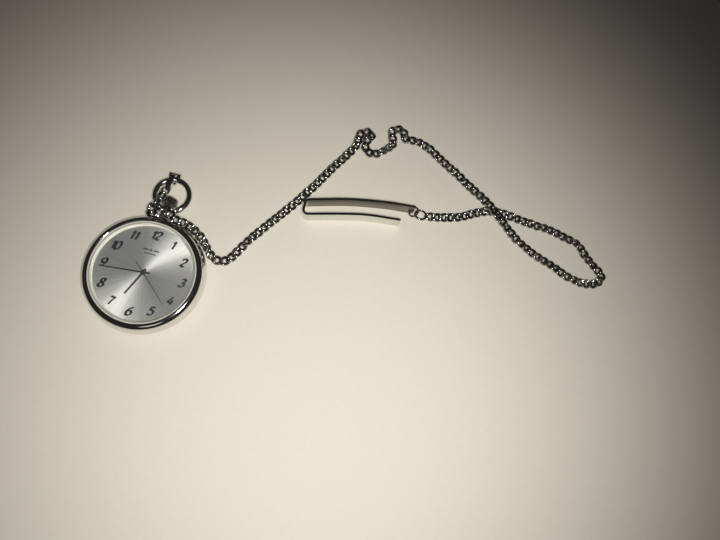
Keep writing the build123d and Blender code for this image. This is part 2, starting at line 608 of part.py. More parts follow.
with BuildPart() as rotor_magnet:
    with BuildSketch(Plane.XY.offset(STATOR_Z - ROTOR_PROUD)):
        with Locations(ROTOR):
            Circle(ROTOR_R)
            Circle(PIVOT_PIN_R, mode=Mode.SUBTRACT)
    extrude(amount=STATOR_THICK + 2 * ROTOR_PROUD)
rotor_magnet.part.label = "rotor_magnet"
export_step(rotor_magnet.part, "parts/rotor_magnet.step")

with BuildPart() as circuit_board:
    with BuildSketch(Plane.XY.offset(BOARD_Z)):
        with BuildLine():
            CenterArc(CENTRE, BOARD_IN_R, BOARD_START, BOARD_SWEEP)
            CenterArc(CENTRE, BOARD_OUT_R, BOARD_START, BOARD_SWEEP)
            for angle in (BOARD_START, BOARD_START + BOARD_SWEEP):
                Line(polar(BOARD_IN_R, angle), polar(BOARD_OUT_R, angle))
        make_face()
    extrude(amount=BOARD_THICK)
circuit_board.part.label = "circuit_board"
export_step(circuit_board.part, "parts/circuit_board.step")

with BuildPart() as ic_chip:
    with BuildSketch(Plane.XY.offset(BOARD_Z - CHIP_THICK)):
        with Locations(polar(CHIP_R, CHIP_ANGLE)):
            Rectangle(CHIP_LENGTH, CHIP_WIDTH, rotation=CHIP_ANGLE)
    extrude(amount=CHIP_THICK)
ic_chip.part.label = "ic_chip"
export_step(ic_chip.part, "parts/ic_chip.step")

with BuildPart() as quartz_crystal:
    with BuildSketch(Plane(origin=QUARTZ_START, z_dir=(1, 1, 0))):
        Circle(QUARTZ_R)
    extrude(amount=QUARTZ_LENGTH)
quartz_crystal.part.label = "quartz_crystal"
export_step(quartz_crystal.part, "parts/quartz_crystal.step")

# ================================================================ clasp on the bow
# The clasp stands on edge round the bow's wire. Its plane runs from the wire to the tail.
tilt = radians(CLASP_TILT)
clasp_wire_y = BOW_Y + (BOW_R**2 - CLASP_X**2) ** 0.5
clasp_plane = Plane(
    origin=(CLASP_X, clasp_wire_y, STEM_Z),
    x_dir=(0, -cos(tilt), sin(tilt)),
    z_dir=(-1, 0, 0),
)
# these points are in the clasp's plane, and the sizes after them are lengths and widths
HOOK_R, HOOK_SLOT, HOOK_SLOT_SIZE = 2.3, (1.1, 0), (2.2, 2.5)
MOUTH, MOUTH_SIZE = (2.2, -1.4), (2.2, 2.6)
LEVER_SLOT, LEVER_SLOT_SIZE = (4.0, -0.3), (2.0, 2.0)
TAIL, TAIL_SIZE = (6.0, 1.0), (2.3, 3.4)
EYE, EYE_R, EYE_HOLE_R = (5.5, 1.35), 0.95, 0.6
KNOB, KNOB_R, KNOB_HALF, KNOB_SHIFT = (-1.2, 1.2), 0.95, 2.1, -0.5
LEVER_PIVOT, LEVER_PIVOT_R = (3.9, 0.15), 0.5
LEVER_TIP, LEVER_TIP_R = (1.78, -1.55), 0.3
THUMB, THUMB_R, THUMB_ROOT, THUMB_ROOT_SIZE = (4.25, -0.75), 0.35, (4.1, -0.3), (0.6, 0.9)
CLASP_HALF, TAIL_HALF, SLOT_HALF, LEVER_HALF = 1.0, 0.45, 0.55, 0.5
RIVET_R, RIVET_FIT, WIRE_FIT = 0.25, 0.04, 0.15

with BuildPart() as clasp_body:
    with BuildSketch(clasp_plane):
        Circle(HOOK_R)
        with Locations(EYE):
            Circle(EYE_R)
        make_hull()
        with Locations(HOOK_SLOT):
            SlotCenterToCenter(*HOOK_SLOT_SIZE, mode=Mode.SUBTRACT)
        with Locations(MOUTH):
            Rectangle(*MOUTH_SIZE, mode=Mode.SUBTRACT)
        with Locations(EYE):
            Circle(EYE_HOLE_R, mode=Mode.SUBTRACT)
        with Locations(LEVER_PIVOT):
            Circle(RIVET_R, mode=Mode.SUBTRACT)
    extrude(amount=CLASP_HALF, both=True)
    with BuildSketch(clasp_plane):
        with Locations(LEVER_SLOT):
            Rectangle(*LEVER_SLOT_SIZE)
    extrude(amount=SLOT_HALF, both=True, mode=Mode.SUBTRACT)
    for side in (-1, 1):
        with BuildSketch(clasp_plane.offset(side * TAIL_HALF)):
            with Locations(TAIL):
                Rectangle(*TAIL_SIZE)
        extrude(amount=side * CLASP_HALF, mode=Mode.SUBTRACT)
    with BuildSketch(clasp_plane.offset(KNOB_SHIFT)):
        with Locations(KNOB):
            Circle(KNOB_R)
    extrude(amount=KNOB_HALF, both=True)
    with Locations((0, BOW_Y, STEM_Z)):
        Torus(BOW_R, BOW_WIRE_R + WIRE_FIT, mode=Mode.SUBTRACT)
clasp_body.part.label = "clasp_body"
export_step(clasp_body.part, "parts/clasp_body.step")

with BuildPart() as clasp_lever:
    with BuildSketch(clasp_plane):
        with Locations(LEVER_PIVOT):
            Circle(LEVER_PIVOT_R)
        with Locations(LEVER_TIP):
            Circle(LEVER_TIP_R)
        make_hull()
        with Locations(THUMB):
            Circle(THUMB_R)
        with Locations(THUMB_ROOT):
            Rectangle(*THUMB_ROOT_SIZE)
        with Locations(LEVER_PIVOT):
            Circle(RIVET_R + RIVET_FIT, mode=Mode.SUBTRACT)
    extrude(amount=LEVER_HALF, both=True)
clasp_lever.part.label = "clasp_lever"
export_step(clasp_lever.part, "parts/clasp_lever.step")

with BuildPart() as clasp_rivet:
    with BuildSketch(clasp_plane):
        with Locations(LEVER_PIVOT):
            Circle(RIVET_R)
    extrude(amount=CLASP_HALF, both=True)
clasp_rivet.part.label = "clasp_rivet"
export_step(clasp_rivet.part, "parts/clasp_rivet.step")

eye_point = clasp_plane.from_local_coords((*EYE, 0))
CLASP_RING_R, CLASP_RING_WIRE_R = 1.3, 0.35
ring_reach = Vector(-0.25, -0.95, 0.12).normalized()
with BuildPart() as clasp_ring:
    with Locations(
        Plane(
            origin=eye_point + ring_reach * CLASP_RING_R,
            x_dir=ring_reach,
            z_dir=Vector(1, 0, 0).cross(ring_reach),
        )
    ):
        Torus(CLASP_RING_R, CLASP_RING_WIRE_R)
clasp_ring.part.label = "clasp_ring"
export_step(clasp_ring.part, "parts/clasp_ring.step")

# ================================================================ chain
# The chain's centreline. The knee runs from the clasp's ring to the pendant.
# The rest crosses the neck, rounds the case and lies on the table.
KNEE_END = (-4.9, 24.0, 6.35)
KNEE_ROUTE = [(-2.3, 29.3, 6.55), (-3.3, 27.2, 6.5), (-4.8, 25.4, 6.35), KNEE_END]
RUN_ROUTE = [
    KNEE_END,
    (-5.0, 22.6, 6.35),
    (-3.9, 21.4, 6.8),
    (-1.6, 21.2, 7.4),
    (1.7, 21.9, 7.4),
    (5.2, 22.0, 6.2),
    (9.5, 21.8, 3.8),
    (14.0, 19.7, 1.9),
    (17.6, 16.1, TABLE_Z),
    (20.4, 12.9, TABLE_Z),
    (24.0, 11.6, TABLE_Z),
    (27.3, 13.6, TABLE_Z),
    (29.4, 18.0, TABLE_Z),
    (32.4, 23.6, TABLE_Z),
    (37.3, 31.0, TABLE_Z),
    (44.2, 41.2, TABLE_Z),
    (50.2, 51.4, TABLE_Z),
    (55.2, 61.2, TABLE_Z),
    (59.0, 67.4, TABLE_Z),
    (61.1, 72.2, TABLE_Z),
    (61.0, 77.0, TABLE_Z),
    (65.0, 78.2, TABLE_Z),
    (66.9, 74.2, TABLE_Z),
    (67.6, 70.9, TABLE_Z),
    (71.3, 71.3, TABLE_Z),
    (74.5, 75.4, TABLE_Z),
    (73.6, 80.3, TABLE_Z),
    (77.7, 82.9, TABLE_Z),
    (80.6, 80.0, TABLE_Z),
    (85.4, 80.7, TABLE_Z),
    (91.6, 78.0, TABLE_Z),
    (98.4, 73.6, TABLE_Z),
    (104.6, 70.4, TABLE_Z),
    (110.3, 66.4, 2.2),
    (115.7, 62.9, 4.1),
    (122.0, 58.0, 4.1),
    (127.2, 53.8, 2.2),
    (132.4, 50.4, TABLE_Z),
    (139.6, 46.7, TABLE_Z),
    (147.6, 44.3, TABLE_Z),
    (154.6, 41.3, TABLE_Z),
    (160.8, 40.7, TABLE_Z),
    (166.0, 42.3, TABLE_Z),
    (167.4, 46.4, TABLE_Z),
    (163.2, 48.7, TABLE_Z),
    (159.3, 52.2, TABLE_Z),
    (155.6, 56.3, TABLE_Z),
    (150.2, 57.3, TABLE_Z),
    (143.6, 58.9, TABLE_Z),
    (135.4, 59.1, TABLE_Z),
    (127.0, 60.0, TABLE_Z),
    (119.0, 60.3, TABLE_Z),
    (112.8, 57.0, TABLE_Z),
    (106.6, 53.4, TABLE_Z),
    (100.4, 51.7, TABLE_Z),
    (BIG_RING_X + BIG_RING_R + BIG_RING_WIRE_R + 0.05, 50.7, TABLE_Z),
]

knee_radii = corner_radii(KNEE_ROUTE)
with BuildPart() as chain_knee:
    with BuildLine() as knee_line:
        FilletPolyline(*KNEE_ROUTE, radius=knee_radii)
    with BuildSketch(Plane(origin=knee_line.line @ 0, z_dir=knee_line.line % 0)):
        Circle(TUBE_R)
    sweep()
chain_knee.part.label = "chain_knee"
export_step(chain_knee.part, "parts/chain_knee.step")

run_radii = corner_radii(RUN_ROUTE)
with BuildPart() as chain_run:
    with BuildLine() as run_line:
        FilletPolyline(*RUN_ROUTE, radius=run_radii)
    with BuildSketch(Plane(origin=run_line.line @ 0, z_dir=run_line.line % 0)):
        Circle(TUBE_R)
    sweep()
chain_run.part.label = "chain_run"
export_step(chain_run.part, "parts/chain_run.step")

# ================================================================ belt clip and its rings
CLIP_ROUTE = [
    (89.2, 51.1),
    (78.5, 50.0),
    (64.5, 47.3),
    (48.4, 42.3),
    (48.7, 36.4),
    (60.0, 39.8),
    (71.5, 42.9),
    (84.8, 44.4),
]
CLIP_CORNER_R = 1.6
clip_radii = corner_radii(CLIP_ROUTE)
clip_radii[2] = clip_radii[3] = CLIP_CORNER_R
clip_hole = Vector(87.95, 50.97, 3.25)
leaf = (Vector(*CLIP_ROUTE[0]) - Vector(*CLIP_ROUTE[1])).normalized()
leaf_normal = Vector(-leaf.Y, leaf.X, 0)

with BuildPart() as belt_clip:
    with BuildSketch():
        with BuildLine():
            FilletPolyline(*CLIP_ROUTE, radius=clip_radii)
        trace(line_width=CLIP_THICK)
    extrude(amount=CLIP_HEIGHT)
    with BuildSketch(Plane(origin=clip_hole, z_dir=leaf_normal)):
        Circle(CLIP_HOLE_R)
    extrude(amount=2 * CLIP_THICK, both=True, mode=Mode.SUBTRACT)
belt_clip.part.label = "belt_clip"
export_step(belt_clip.part, "parts/belt_clip.step")

# the link hangs from the hole to the near side of the big ring, turned so that they cross
big_ring_near = Vector(BIG_RING_X - BIG_RING_R, BIG_RING_Y, BIG_RING_Z)
link_reach = (big_ring_near - clip_hole).normalized()
link_normal = leaf_normal.cross(link_reach).rotate(Axis((0, 0, 0), link_reach), SMALL_RING_TILT)
with BuildPart() as clip_link:
    with Locations(
        Plane(
            origin=clip_hole + link_reach * SMALL_RING_R,
            x_dir=link_reach,
            z_dir=link_normal,
        )
    ):
        Torus(SMALL_RING_R, SMALL_RING_WIRE_R)
clip_link.part.label = "clip_link"
export_step(clip_link.part, "parts/clip_link.step")

with BuildPart() as clip_ring:
    with Locations(Location((BIG_RING_X, BIG_RING_Y, BIG_RING_Z), (BIG_RING_TILT, 0, 0))):
        Torus(BIG_RING_R, BIG_RING_WIRE_R)
clip_ring.part.label = "clip_ring"
export_step(clip_ring.part, "parts/clip_ring.step")

# ================================================================ what the tubes measure
for name, line, solid, radii in (
    ("chain_knee", knee_line.line, chain_knee.part, knee_radii),
    ("chain_run", run_line.line, chain_run.part, run_radii),
):
    length = sum(edge.length for edge in line.edges())
    share = solid.volume / (pi * TUBE_R**2 * length)
    print(name, "length", round(length, 1), "volume share", round(share, 4))
    print("radii", [round(radius, 1) for radius in radii])
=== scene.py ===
import json
import math

import bmesh
import bpy
from mathutils import Matrix, Vector


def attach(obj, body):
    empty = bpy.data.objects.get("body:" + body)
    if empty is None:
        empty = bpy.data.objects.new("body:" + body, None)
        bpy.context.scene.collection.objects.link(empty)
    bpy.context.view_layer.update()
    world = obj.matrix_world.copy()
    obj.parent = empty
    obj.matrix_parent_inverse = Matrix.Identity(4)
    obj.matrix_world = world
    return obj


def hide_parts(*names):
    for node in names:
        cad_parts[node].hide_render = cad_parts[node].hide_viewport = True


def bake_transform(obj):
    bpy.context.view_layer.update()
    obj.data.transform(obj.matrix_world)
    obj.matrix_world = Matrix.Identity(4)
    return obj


MM = 0.001

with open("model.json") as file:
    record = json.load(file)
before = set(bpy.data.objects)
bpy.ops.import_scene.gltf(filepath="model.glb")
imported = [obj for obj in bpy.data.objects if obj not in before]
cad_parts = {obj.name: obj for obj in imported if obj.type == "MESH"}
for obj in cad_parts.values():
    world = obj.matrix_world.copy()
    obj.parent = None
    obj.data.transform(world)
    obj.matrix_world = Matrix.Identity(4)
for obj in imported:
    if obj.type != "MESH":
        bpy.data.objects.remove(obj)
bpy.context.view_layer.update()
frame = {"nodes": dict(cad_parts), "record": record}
nodes = frame["nodes"]

# ---------------------------------------------------------------- camera

# The position is in millimetres and the directions are unit vectors.
CAMERA_AT = (67.783, -36.585, 218.953)
CAMERA_RIGHT = (0.96492, 0.24366, 0.09777)
CAMERA_UP = (-0.26067, 0.93360, 0.24585)
CAMERA_BACK = (-0.03137, -0.26271, 0.96436)

camera_data = bpy.data.cameras.new("camera")
camera_data.lens = 30
camera_data.sensor_width = 36
camera_data.clip_start = 0.005
camera_data.clip_end = 10
camera = bpy.data.objects.new("camera", camera_data)
bpy.context.scene.collection.objects.link(camera)
turn = Matrix((CAMERA_RIGHT, CAMERA_UP, CAMERA_BACK)).transposed().to_4x4()
camera.matrix_world = Matrix.Translation(Vector(CAMERA_AT) * MM) @ turn
bpy.context.scene.camera = camera


# ---------------------------------------------------------------- materials


class Mat:
    """A material's node tree, with short calls that add a node and link it."""

    def __init__(self, name, rough=0.5, metal=0.0, color=(0.8, 0.8, 0.8), **sockets):
        self.m = bpy.data.materials.new(name)
        self.m.use_nodes = True
        self.t = self.m.node_tree
        self.b = self.t.nodes["Principled BSDF"]
        self.b.inputs["Base Color"].default_value = (*color, 1)
        self.b.inputs["Roughness"].default_value = rough
        self.b.inputs["Metallic"].default_value = metal
        for key, value in sockets.items():
            self.b.inputs[key.replace("_", " ")].default_value = value
        self.bump_out = None

    def node(self, kind, **values):
        n = self.t.nodes.new(kind)
        for key, value in values.items():
            if hasattr(n, key):
                setattr(n, key, value)
            else:
                n.inputs[key.replace("_", " ")].default_value = value
        return n

    def link(self, a, b):
        self.t.links.new(a, b)

    def place(self, scale=(1, 1, 1), turned=(0, 0, 0)):
        """Object coordinates in millimetres, stretched and turned."""
        coord = self.node("ShaderNodeTexCoord")
        mapping = self.node("ShaderNodeMapping")
        mapping.inputs["Scale"].default_value = [x / MM for x in scale]
        mapping.inputs["Rotation"].default_value = turned
        self.link(coord.outputs["Object"], mapping.inputs["Vector"])
        return mapping.outputs["Vector"]

    def noise(self, scale=1.0, stretch=(1, 1, 1), turned=(0, 0, 0), detail=3.0):
        n = self.node("ShaderNodeTexNoise", Scale=scale, Detail=detail)
        self.link(self.place(stretch, turned), n.inputs["Vector"])
        return n.outputs["Fac"]

    def ranged(self, value, low, high, from_low=0.3, from_high=0.7):
        n = self.node("ShaderNodeMapRange")
        n.inputs["From Min"].default_value = from_low
        n.inputs["From Max"].default_value = from_high
        n.inputs["To Min"].default_value = low
        n.inputs["To Max"].default_value = high
        self.link(value, n.inputs["Value"])
        return n.outputs["Result"]

    def ramp(self, value, stops):
        n = self.node("ShaderNodeValToRGB")
        for i, (at, color) in enumerate(stops):
            e = n.color_ramp.elements[i] if i < 2 else n.color_ramp.elements.new(at)
            e.position = at
            e.color = (*color, 1)
        self.link(value, n.inputs["Fac"])
        return n.outputs["Color"]

    def math(self, operation, a, b=None):
        n = self.node("ShaderNodeMath", operation=operation)
        for socket, value in zip(n.inputs, (a, b)):
            if value is None:
                continue
            if isinstance(value, (int, float)):
                socket.default_value = value
            else:
                self.link(value, socket)
        return n.outputs["Value"]

    def color(self, socket):
        self.link(socket, self.b.inputs["Base Color"])
        return self

    def rough(self, socket):
        self.link(socket, self.b.inputs["Roughness"])
        return self

    def bump(self, value, height_mm, strength=1.0):
        n = self.node("ShaderNodeBump", Strength=strength)
        n.inputs["Distance"].default_value = height_mm * MM
        self.link(value, n.inputs["Height"])
        if self.bump_out is not None:
            self.link(self.bump_out, n.inputs["Normal"])
        self.bump_out = n.outputs["Normal"]
        self.link(self.bump_out, self.b.inputs["Normal"])
        return self


# The line midway between the clip's leaves, from its closed end.
CLIP_END_X, CLIP_END_Y, CLIP_SLOPE, CLIP_BEND = 49.0, 39.4, 0.30, -0.0018
CLIP_FACING = 0.5  # how far a face has to turn towards +Y or -Y to count as facing it
CLIP_INNER_ROUGH = 0.34


def tinted(color, by):
    return tuple(max(0.0, min(1.0, c * by)) for c in color)


def polished(name, color, low, high, hairline=0.0006):
    """Polished plate: a slightly uneven gloss, faint hairlines and a hint of tarnish."""
    m = Mat(name, metal=1.0, color=color)
    cloud = m.noise(0.35, detail=4)
    m.color(m.ramp(cloud, [(0.3, tinted(color, 0.92)), (0.7, color)]))
    fine = m.noise(2.2, stretch=(0.25, 3.2, 1.0), turned=(0, 0, 0.6))
    m.rough(m.ranged(m.math("MULTIPLY", cloud, fine), low, high, 0.12, 0.42))
    m.bump(m.noise(3.0, stretch=(0.2, 4.0, 0.8), turned=(0.3, 0, 1.1)), hairline)
    m.bump(m.noise(0.5, detail=2), hairline * 3)
    return m


def clip_metal():
    """The clip: polished outside and along its edges, rougher on its inner faces, which carry painted
    shade in a dark brown-grey.
    """
    m = polished("clip_steel", (0.70, 0.715, 0.66), 0.03, 0.09, 0.0004)
    bright = m.b.inputs["Base Color"].links[0].from_socket
    gloss = m.b.inputs["Roughness"].links[0].from_socket
    shape = m.node("ShaderNodeNewGeometry")
    at, way = m.node("ShaderNodeSeparateXYZ"), m.node("ShaderNodeSeparateXYZ")
    coord = m.node("ShaderNodeTexCoord")
    m.link(coord.outputs["Object"], at.inputs["Vector"])
    m.link(shape.outputs["True Normal"], way.inputs["Vector"])
    along = m.math("SUBTRACT", m.math("MULTIPLY", at.outputs["X"], 1 / MM), CLIP_END_X)
    bend = m.math("MULTIPLY", m.math("MULTIPLY", along, along), CLIP_BEND)
    middle = m.math("ADD", m.math("ADD", m.math("MULTIPLY", along, CLIP_SLOPE), bend), CLIP_END_Y)
    far = m.math("GREATER_THAN", m.math("MULTIPLY", at.outputs["Y"], 1 / MM), middle)
    far_inner = m.math("MULTIPLY", far, m.math("LESS_THAN", way.outputs["Y"], -CLIP_FACING))
    near = m.math("SUBTRACT", 1.0, far)
    near_inner = m.math("MULTIPLY", near, m.math("GREATER_THAN", way.outputs["Y"], CLIP_FACING))
    inner = m.math("ADD", far_inner, near_inner)
    # The inner faces between the leaves are painted dark brown-grey: painted shade, standing in for the
    # shaded leaf they mirror.
    painted_shade_mix = m.node("ShaderNodeMix", data_type="RGBA")
    m.link(inner, painted_shade_mix.inputs[0])
    m.link(bright, painted_shade_mix.inputs[6])
    streak = m.noise(1.0, stretch=(0.15, 0.15, 2.5), detail=4)
    m.link(m.ramp(streak, [(0.3, (0.16, 0.14, 0.11)), (0.7, (0.27, 0.25, 0.21))]), painted_shade_mix.inputs[7])
    m.color(painted_shade_mix.outputs[2])
    matt = m.node("ShaderNodeMix", data_type="FLOAT")
    m.link(inner, matt.inputs[0])
    m.link(gloss, matt.inputs[2])
    matt.inputs[3].default_value = CLIP_INNER_ROUGH
    return m.rough(matt.outputs[0])


HOLLOW_MM = 0.9  # how far off a wall the painted shade still darkens the chain


def chain_metal():
    """Plated curb links: bright filed flats, and painted shade darkening the hollows between the wires,
    which are also rougher.
    """
    m = Mat("chain_steel", metal=1.0)
    shade = m.node("ShaderNodeAmbientOcclusion")
    shade.samples = 6
    shade.inputs["Distance"].default_value = HOLLOW_MM * MM
    # Ambient occlusion darkens the colour in the hollows: painted shade, with a random change of tone
    # on top.
    shade_and_tone = m.math("MULTIPLY", shade.outputs["AO"], m.ranged(m.noise(0.8), 0.8, 1.0))
    m.color(
        m.ramp(shade_and_tone, [(0.15, (0.05, 0.045, 0.04)), (0.88, (0.42, 0.41, 0.39))])
    )
    m.rough(m.ranged(shade_and_tone, 0.34, 0.10, 0.2, 0.8))
    m.bump(m.noise(3.5), 0.004)
    return m


def satin(name, color, rough, metal=0.0, grain_mm=0.004, scale=4.0, vary=0.86):
    """Moulded, blasted or painted surfaces: fine grain and a slight change of tone."""
    m = Mat(name, rough=rough, metal=metal, color=color)
    cloud = m.noise(0.5, detail=4)
    m.color(m.ramp(cloud, [(0.3, tinted(color, vary)), (0.7, color)]))
    grain = m.noise(scale, detail=5)
    m.rough(m.ranged(grain, rough * 0.8, min(1.0, rough * 1.2)))
    return m.bump(grain, grain_mm)


def turned_metal(name, color, rough):
    """Machined metal with the fine rings that a lathe or a plating jig leaves."""
    m = Mat(name, metal=1.0, color=color)
    rings = m.node("ShaderNodeTexWave", wave_type="RINGS", rings_direction="Z")
    rings.inputs["Scale"].default_value = 2.5
    rings.inputs["Distortion"].default_value = 1.5
    m.link(m.place(), rings.inputs["Vector"])
    fine = m.noise(2.5)
    m.color(m.ramp(fine, [(0.3, tinted(color, 0.85)), (0.7, color)]))
    m.rough(m.ranged(fine, rough * 0.8, rough * 1.25))
    return m.bump(rings.outputs["Fac"], 0.002)


FINE_RAYS, BROAD_RAYS = 70.0, 9.0  # noise steps in a radian of the dial


def sunray():
    """The dial: silvered brass with fine rays brushed out from its middle."""
    m = Mat(
        "dial_silver", metal=0.85, color=(0.45, 0.45, 0.45), Anisotropic=0.76, rough=0.31
    )
    coord = m.node("ShaderNodeTexCoord")
    apart = m.node("ShaderNodeSeparateXYZ")
    m.link(coord.outputs["Object"], apart.inputs["Vector"])
    angle = m.math("ARCTAN2", apart.outputs["Y"], apart.outputs["X"])
    ray = m.node("ShaderNodeTexNoise", noise_dimensions="1D", Detail=6.0, Scale=1.0)
    m.link(m.math("MULTIPLY", angle, FINE_RAYS), ray.inputs["W"])
    broad = m.node("ShaderNodeTexNoise", noise_dimensions="1D", Detail=2.0, Scale=1.0)
    m.link(m.math("MULTIPLY", angle, BROAD_RAYS), broad.inputs["W"])
    both = m.math("MULTIPLY", ray.outputs["Fac"], broad.outputs["Fac"])
    m.color(m.ramp(both, [(0.15, (0.41, 0.41, 0.41)), (0.35, (0.48, 0.48, 0.475))]))
    m.rough(m.ranged(ray.outputs["Fac"], 0.29, 0.36))
    tangent = m.node("ShaderNodeTangent", direction_type="RADIAL", axis="Z")
    m.link(tangent.outputs["Tangent"], m.b.inputs["Tangent"])
    return m.bump(ray.outputs["Fac"], 0.0012)


def clear_glass():
    """Mineral glass that lamps light through, with a faint smear in its gloss."""
    m = Mat("crystal_glass", color=(0.97, 0.985, 0.98), rough=0.02, IOR=1.5)
    m.b.inputs["Transmission Weight"].default_value = 1.0
    out = m.t.nodes["Material Output"]
    path = m.node("ShaderNodeLightPath")
    clear = m.node("ShaderNodeBsdfTransparent")
    mix = m.node("ShaderNodeMixShader")
    m.link(path.outputs["Is Shadow Ray"], mix.inputs[0])
    m.link(m.b.outputs["BSDF"], mix.inputs[1])
    m.link(clear.outputs["BSDF"], mix.inputs[2])
    m.link(mix.outputs["Shader"], out.inputs["Surface"])
    m.bump(m.noise(0.25, detail=2), 0.0015)
    return m


def winding():
    """Enamelled wire wound round the coil, one ridge a turn, with painted shade in the grooves between
    turns.
    """
    m = Mat("copper_wire", metal=1.0, color=(0.75, 0.38, 0.2), Coat_Weight=0.4)
    turns = m.node("ShaderNodeTexWave", wave_type="BANDS", bands_direction="X")
    turns.inputs["Scale"].default_value = 3.0
    m.link(m.place(), turns.inputs["Vector"])
    # Darker where the wave is low, in the grooves between turns: painted shade.
    m.color(
        m.ramp(turns.outputs["Fac"], [(0.2, (0.42, 0.18, 0.09)), (0.8, (0.78, 0.4, 0.22))])
    )
    m.rough(m.ranged(m.noise(2.0), 0.25, 0.4))
    return m.bump(turns.outputs["Fac"], 0.02)


def board():
    """Green solder mask with tracks under it."""
    m = Mat("board_green", color=(0.05, 0.3, 0.14), rough=0.3, Coat_Weight=0.3)
    tracks = m.node("ShaderNodeTexBrick", Scale=1.2)
    m.link(m.place(), tracks.inputs["Vector"])
    m.color(
        m.ramp(tracks.outputs["Fac"], [(0.2, (0.03, 0.2, 0.09)), (0.8, (0.07, 0.36, 0.17))])
    )
    m.rough(m.ranged(m.noise(3.0), 0.25, 0.4))
    return m.bump(tracks.outputs["Fac"], 0.02)


STEEL = (0.80, 0.79, 0.76)
made = {
    "case_steel": polished("case_steel", STEEL, 0.05, 0.13),
    "bezel_steel": polished("bezel_steel", (0.78, 0.77, 0.74), 0.04, 0.11),
    "bow_steel": polished("bow_steel", (0.78, 0.77, 0.75), 0.05, 0.13),
    "clasp_steel": polished("clasp_steel", (0.78, 0.77, 0.75), 0.05, 0.12),
    "clip_steel": clip_metal(),
    "chain_steel": chain_metal(),
    "crystal_glass": clear_glass(),
    "rehaut": satin("rehaut", (0.36, 0.35, 0.31), 0.42),
    "gasket": satin("gasket", (0.62, 0.61, 0.57), 0.6),
    "seal_black": satin("seal_black", (0.05, 0.05, 0.05), 0.6),
    "dial_silver": sunray(),
    "hand_black": satin("hand_black", (0.012, 0.012, 0.015), 0.4, 0.0, 0.0006),
    "brass": turned_metal("brass", (0.80, 0.64, 0.34), 0.28),
    "plate_nickel": turned_metal("plate_nickel", (0.70, 0.70, 0.70), 0.35),
    "pinion_steel": turned_metal("pinion_steel", (0.60, 0.60, 0.62), 0.22),
    "wheel_plastic": satin("wheel_plastic", (0.86, 0.86, 0.84), 0.45),
    "holder_plastic": satin("holder_plastic", (0.90, 0.90, 0.88), 0.5),
    "battery_steel": turned_metal("battery_steel", (0.72, 0.72, 0.70), 0.25),
    "copper_wire": winding(),
    "soft_iron": turned_metal("soft_iron", (0.50, 0.50, 0.50), 0.4),
    "magnet": turned_metal("magnet", (0.25, 0.25, 0.26), 0.5),
    "board_green": board(),
    "chip_black": satin("chip_black", (0.04, 0.04, 0.04), 0.45),
}
for part in frame["record"]["subparts"]:
    surface = made[part["material_slot"]].m
    for s in nodes[part["node"]].material_slots:
        s.material = surface

# The bent strip and the clasp have softened edges that catch the light.
EDGE_ROUND_MM, EDGE_ANGLE = 0.1, math.radians(50)
for name in ("belt_clip", "clasp_body", "clasp_lever"):
    soft = nodes[name].modifiers.new("edges", "BEVEL")
    soft.width = EDGE_ROUND_MM * MM
    soft.segments = 2
    soft.limit_method = "ANGLE"
    soft.angle_limit = EDGE_ANGLE


# ---------------------------------------------------------------- meshes


def new_object(name, verts, faces, material, smooth=True):
    """A mesh object from points in millimetres, with its normals facing out."""
    mesh = bpy.data.meshes.new(name)
    mesh.from_pydata([Vector(v) * MM for v in verts], [], faces)
    bm = bmesh.new()
    bm.from_mesh(mesh)
    bmesh.ops.recalc_face_normals(bm, faces=bm.faces)
    bm.to_mesh(mesh)
    bm.free()
    mesh.materials.append(material.m)
    for p in mesh.polygons:
        p.use_smooth = smooth
    obj = bpy.data.objects.new(name, mesh)
    bpy.context.scene.collection.objects.link(obj)
    return obj


# ---------------------------------------------------------------- dial figures

